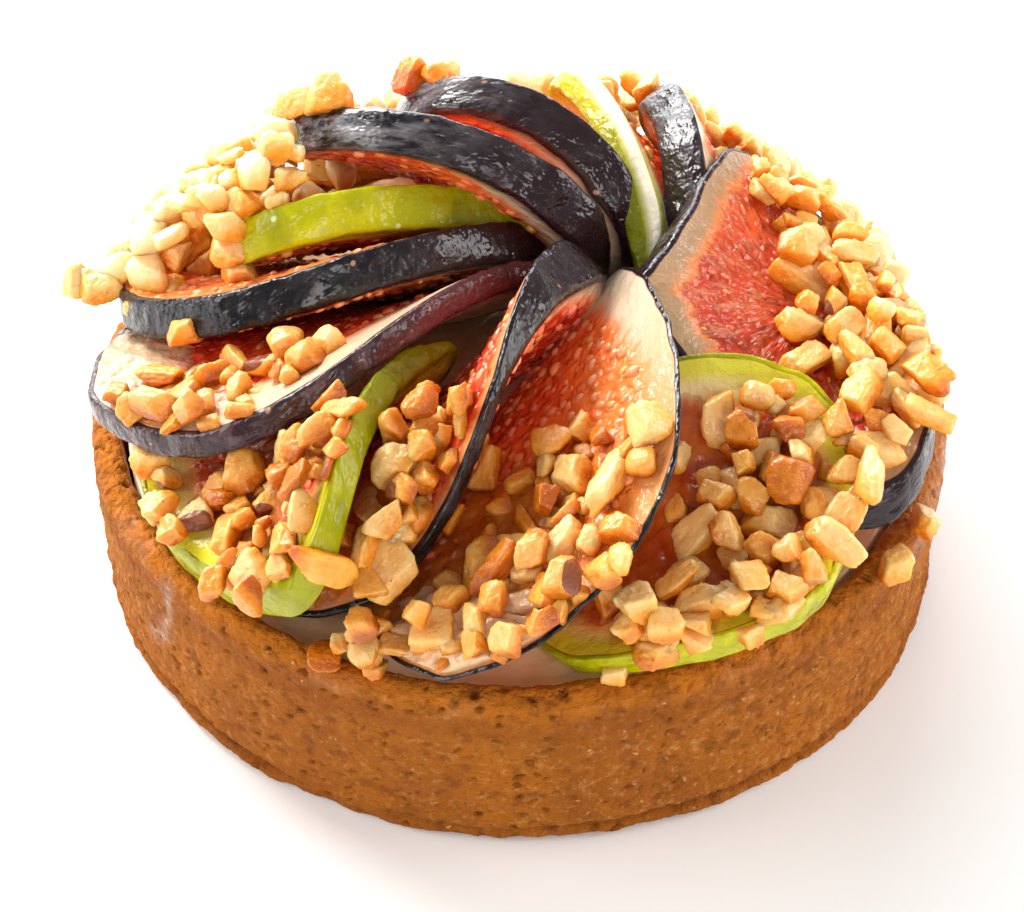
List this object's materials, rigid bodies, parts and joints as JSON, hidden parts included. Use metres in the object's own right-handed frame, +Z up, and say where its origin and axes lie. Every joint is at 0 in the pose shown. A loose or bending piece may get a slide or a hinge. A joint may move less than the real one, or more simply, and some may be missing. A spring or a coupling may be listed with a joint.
{
  "type": "fig tart",
  "caption": "Round straight-sided tartlet filled with cream and topped with a pinwheel of fig slices and chopped nuts.",
  "frame": {"origin": "centre of the flat underside", "axes": "+Z up, the front of the tart faces -Y, +X to its right"},
  "size_m": [0.0906, 0.0933, 0.0497],
  "materials": {
    "crust": "baked shortcrust, golden brown, finely pitted, dry, with a wet streak of syrup",
    "cream": "pale smooth cream filling, soft gloss",
    "black_fig": "glazed fig slice: red seedy flesh, pale ring and blue-black skin",
    "green_fig": "glazed fig slice: red seedy flesh, pale ring and yellow-green skin",
    "nuts": "chopped roasted nuts, cream to amber, wet with syrup"
  },
  "bodies": {
    "root": {"shell": "crust", "cream": "cream", "fig_slice_01": "black_fig", "fig_slice_02": "green_fig", "fig_slice_03": "black_fig", "fig_slice_04": "black_fig", "fig_slice_05": "green_fig", "fig_slice_06": "black_fig", "fig_slice_07": "black_fig", "fig_slice_08": "green_fig", "fig_slice_09": "black_fig", "fig_slice_10": "black_fig", "fig_slice_11": "green_fig", "fig_slice_12": "black_fig", "nuts_front": "nuts", "nuts_front_right": "nuts", "nuts_right": "nuts", "nuts_back_right": "nuts", "nuts_back": "nuts", "nuts_back_left": "nuts", "nuts_left": "nuts", "nuts_left_rim": "nuts", "nuts_left_front": "nuts", "nuts_front_left": "nuts", "nuts_front_middle": "nuts"}
  },
  "joints": []
}
